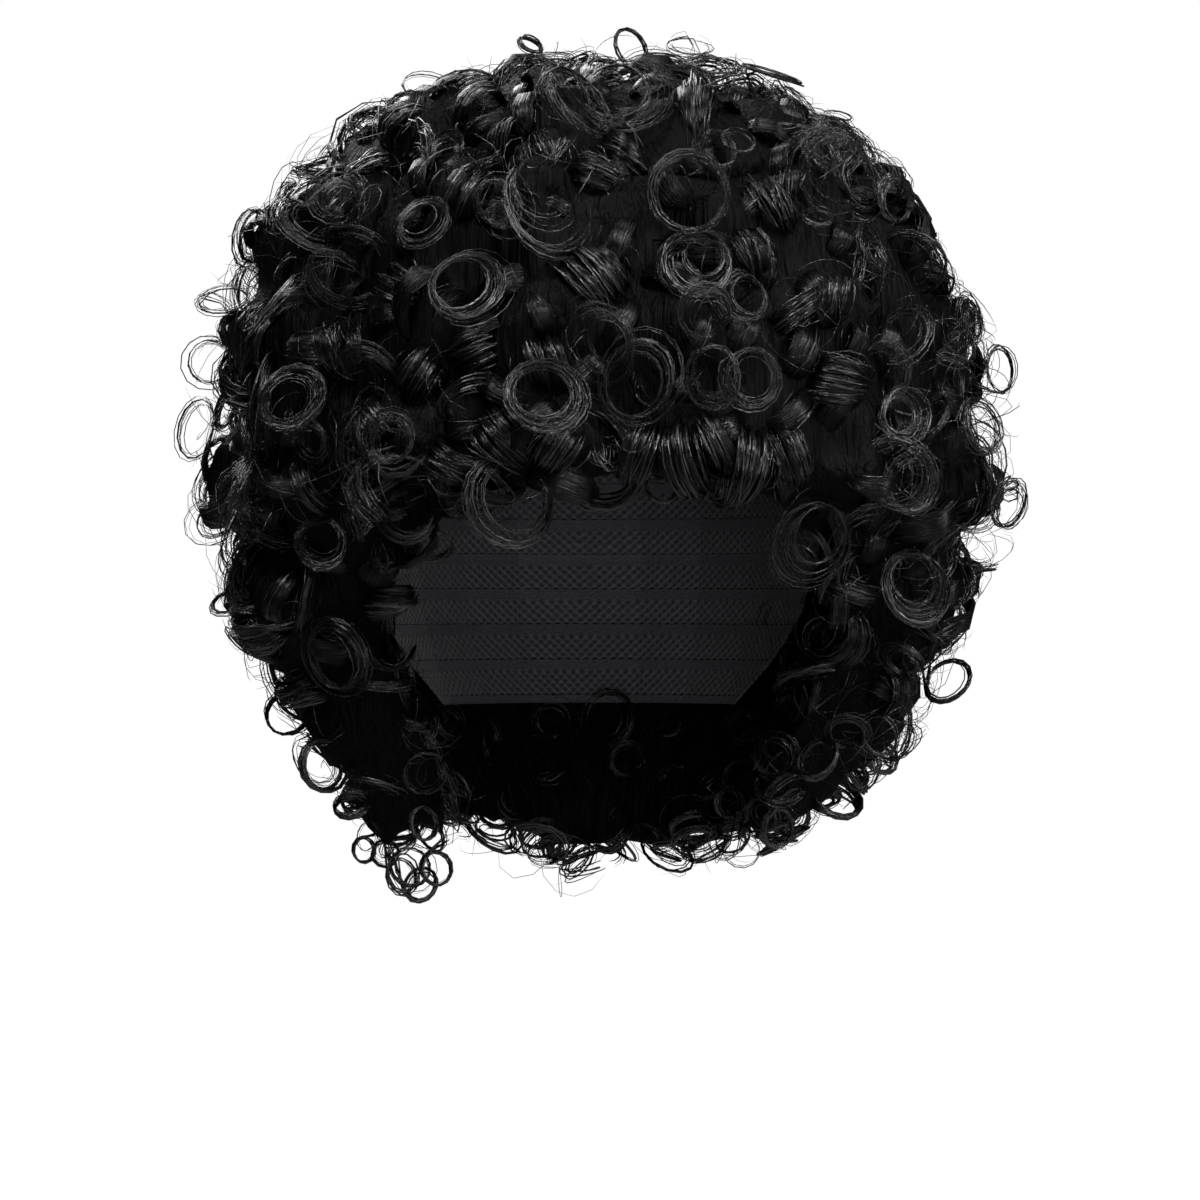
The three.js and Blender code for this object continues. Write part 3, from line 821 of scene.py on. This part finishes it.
def cap_material():
    """Warp-knitted net with a row of stitched weft every centimetre or so: dull, dark and open."""
    material, tree = new_material("black_elastic_net")
    place = add_node(tree, "ShaderNodeTexCoord").outputs["Object"]
    from_middle = add_node(tree, "ShaderNodeMapping", {"Vector": place, "Location": -HEAD_CENTRE}).outputs["Vector"]
    side = add_node(tree, "ShaderNodeSeparateXYZ", {"Vector": from_middle}).outputs
    level = add_node(tree, "ShaderNodeMapping", {"Vector": from_middle, "Scale": (1, 1, 0)}).outputs["Vector"]
    from_axis = add_node(tree, "ShaderNodeVectorMath", {"Vector": level}, operation="LENGTH").outputs["Value"]
    turn = add_node(tree, "ShaderNodeMath", {0: side["X"], 1: side["Y"]}, operation="ARCTAN2").outputs["Value"]
    around = add_node(tree, "ShaderNodeMath", {0: turn, 1: CAP_RADIUS}, operation="MULTIPLY").outputs["Value"]
    climb = add_node(tree, "ShaderNodeMath", {0: side["Z"], 1: from_axis}, operation="ARCTAN2").outputs["Value"]
    dome = add_node(tree, "ShaderNodeMath", {0: climb, 1: 0.0}, operation="MAXIMUM").outputs["Value"]
    wall = add_node(tree, "ShaderNodeMath", {0: side["Z"], 1: 0.0}, operation="MINIMUM").outputs["Value"]
    up = add_node(tree, "ShaderNodeMath", {0: dome, 1: CAP_RADIUS, 2: wall}, operation="MULTIPLY_ADD").outputs["Value"]
    laid_flat = add_node(tree, "ShaderNodeCombineXYZ", {"X": around, "Y": up}).outputs["Vector"]
    bias = add_node(tree, "ShaderNodeMapping", {"Vector": laid_flat, "Rotation": (0, 0, math.radians(45))})
    cells = add_node(tree, "ShaderNodeTexVoronoi", {
        "Vector": bias.outputs["Vector"], "Scale": 1 / NET_CELL, "Randomness": 0.1,
    }, voronoi_dimensions="2D")
    row = add_node(tree, "ShaderNodeMath", {0: up, 1: WEFT_ROWS_APART / 2}, operation="PINGPONG").outputs["Value"]
    weft = add_node(tree, "ShaderNodeMapRange", {
        "Value": row, "From Min": 0.14 * WEFT_ROWS_APART, "From Max": 0.17 * WEFT_ROWS_APART,
        "To Min": 1.0, "To Max": 0.0,
    }).outputs["Result"]
    stitches = add_node(tree, "ShaderNodeTexNoise", {"Vector": place, "Scale": 1400, "Detail": 1})
    net = add_node(tree, "ShaderNodeMapRange", {
        "Value": cells.outputs["Distance"], "From Min": 0.15, "From Max": 0.55, "To Min": 0.0, "To Max": 1.0,
    }).outputs["Result"]
    relief = add_node(tree, "ShaderNodeMix", {
        "Factor": weft, "A": net, "B": stitches.outputs["Fac"],
    }, data_type="FLOAT").outputs[0]
    colour = add_node(tree, "ShaderNodeValToRGB", {"Fac": relief})
    colour.color_ramp.elements[0].color = linear("#1e1e21")
    colour.color_ramp.elements[1].color = linear("#48484e")
    steps = add_node(tree, "ShaderNodeBump", {"Height": weft, "Strength": 1.0, "Distance": 0.0012})
    bump = add_node(tree, "ShaderNodeBump", {
        "Height": relief, "Normal": steps.outputs["Normal"], "Strength": 0.8, "Distance": 0.0006,
    })
    shader = add_node(tree, "ShaderNodeBsdfPrincipled", {
        "Base Color": colour.outputs["Color"], "Roughness": 0.7, "IOR": 1.5, "Sheen Weight": 0.1,
        "Normal": bump.outputs["Normal"],
    })
    add_node(tree, "ShaderNodeOutputMaterial", {"Surface": shader.outputs["BSDF"]})
    return material


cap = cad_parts["wig_cap"]
cap.data.materials.clear()
cap.data.materials.append(cap_material())


# A plain pale floor well below the wig, white surroundings and six soft lights.
FLOOR_HEIGHT = -1.2
floor_mesh = bpy.data.meshes.new("floor")
bm = bmesh.new()
bmesh.ops.create_grid(bm, x_segments=1, y_segments=1, size=12)
bmesh.ops.translate(bm, verts=bm.verts, vec=(0, 0, FLOOR_HEIGHT))
bm.to_mesh(floor_mesh)
bm.free()
floor = bpy.data.objects.new("floor", floor_mesh)
scene.collection.objects.link(floor)
floor_material, tree = new_material("white_painted_floor")
seen = add_node(tree, "ShaderNodeLightPath").outputs["Is Camera Ray"]
shader = add_node(tree, "ShaderNodeBsdfPrincipled", {
    "Base Color": linear("#a0a0a0"), "Roughness": 0.8,
    "Emission Color": (1, 1, 1, 1), "Emission Strength": seen,
})
add_node(tree, "ShaderNodeOutputMaterial", {"Surface": shader.outputs["BSDF"]})
floor_mesh.materials.append(floor_material)

world = bpy.data.worlds.new("white_surroundings")
world.use_nodes = True
tree = world.node_tree
tree.nodes.clear()
seen = add_node(tree, "ShaderNodeLightPath").outputs["Is Camera Ray"]
strength = add_node(tree, "ShaderNodeMapRange", {"Value": seen, "To Min": 0.02, "To Max": 1.0})
background = add_node(tree, "ShaderNodeBackground", {"Color": (1, 1, 1, 1), "Strength": strength.outputs["Result"]})
add_node(tree, "ShaderNodeOutputWorld", {"Surface": background.outputs["Background"]})
scene.world = world
scene.view_settings.view_transform = "Standard"


def soft_light(name, place, size, power):
    data = bpy.data.lights.new(name, "AREA")
    data.size = size
    data.energy = power
    lamp = bpy.data.objects.new(name, data)
    lamp.location = place
    lamp.rotation_mode = "QUATERNION"
    lamp.rotation_quaternion = (HEAD_CENTRE - Vector(place)).to_track_quat("-Z", "Y")
    scene.collection.objects.link(lamp)


soft_light("key_light", (-0.5, -1.0, 1.4), 0.5, 44)
soft_light("fill_light", (1.1, -0.9, 1.0), 0.45, 36)
soft_light("top_light", (0.1, 0.3, 1.7), 0.8, 8)
soft_light("rim_light", (-0.5, 1.3, 0.9), 0.8, 22)
soft_light("front_light", (0.15, -1.6, -0.2), 0.5, 7)
soft_light("side_light", (1.4, -0.8, -0.1), 0.7, 9)
